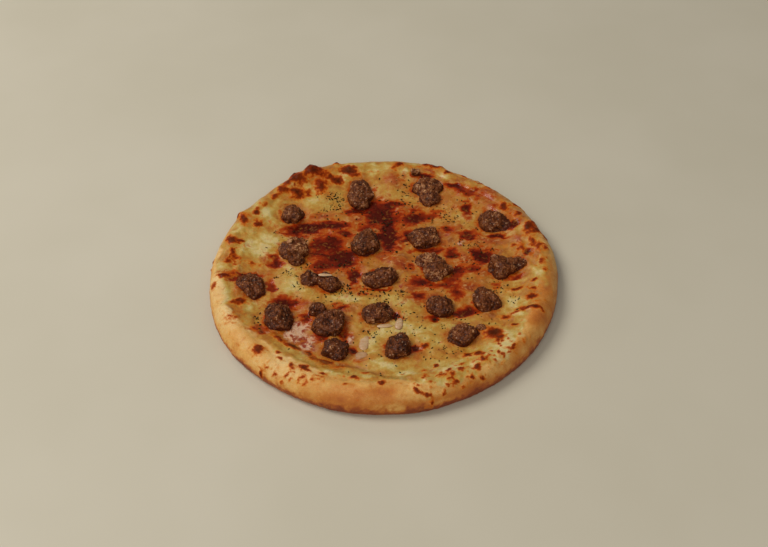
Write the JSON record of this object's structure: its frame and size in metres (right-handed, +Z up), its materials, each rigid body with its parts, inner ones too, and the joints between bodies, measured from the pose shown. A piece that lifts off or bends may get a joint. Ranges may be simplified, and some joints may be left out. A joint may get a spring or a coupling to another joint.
{
  "type": "sausage pizza",
  "caption": "Whole baked round pizza: puffed browned rim, melted cheese with dark sauce patches, craggy sausage lumps, pale slivers and dried herb flakes.",
  "frame": {"origin": "centre of the flat underside, on the surface the pizza lies on", "axes": "+Z up out of the toppings, +Y towards the back of the pictured view, +X to its right"},
  "size_m": [0.2526, 0.251, 0.021],
  "materials": {
    "dough": "baked dough, golden with browned blisters and a darker base edge",
    "cheese": "melted cheese over tomato sauce, oily sheen, toasted spots and dried herb",
    "sausage": "cooked minced sausage, rough grain with a slight fat sheen",
    "sliver": "pale translucent slice"
  },
  "bodies": {
    "root": {"crust": "dough", "cheese": "cheese", "sausage_01": "sausage", "sausage_02": "sausage", "sausage_03": "sausage", "sausage_04": "sausage", "sausage_05": "sausage", "sausage_06": "sausage", "sausage_07": "sausage", "sausage_08": "sausage", "sausage_09": "sausage", "sausage_10": "sausage", "sausage_11": "sausage", "sausage_12": "sausage", "sausage_13": "sausage", "sausage_14": "sausage", "sausage_15": "sausage", "sausage_16": "sausage", "sausage_17": "sausage", "sausage_18": "sausage", "sausage_19": "sausage", "sausage_20": "sausage", "sausage_crumb_1": "sausage", "sausage_crumb_2": "sausage", "sliver_1": "sliver", "sliver_2": "sliver", "sliver_3": "sliver", "sliver_4": "sliver", "sliver_5": "sliver"}
  },
  "joints": []
}
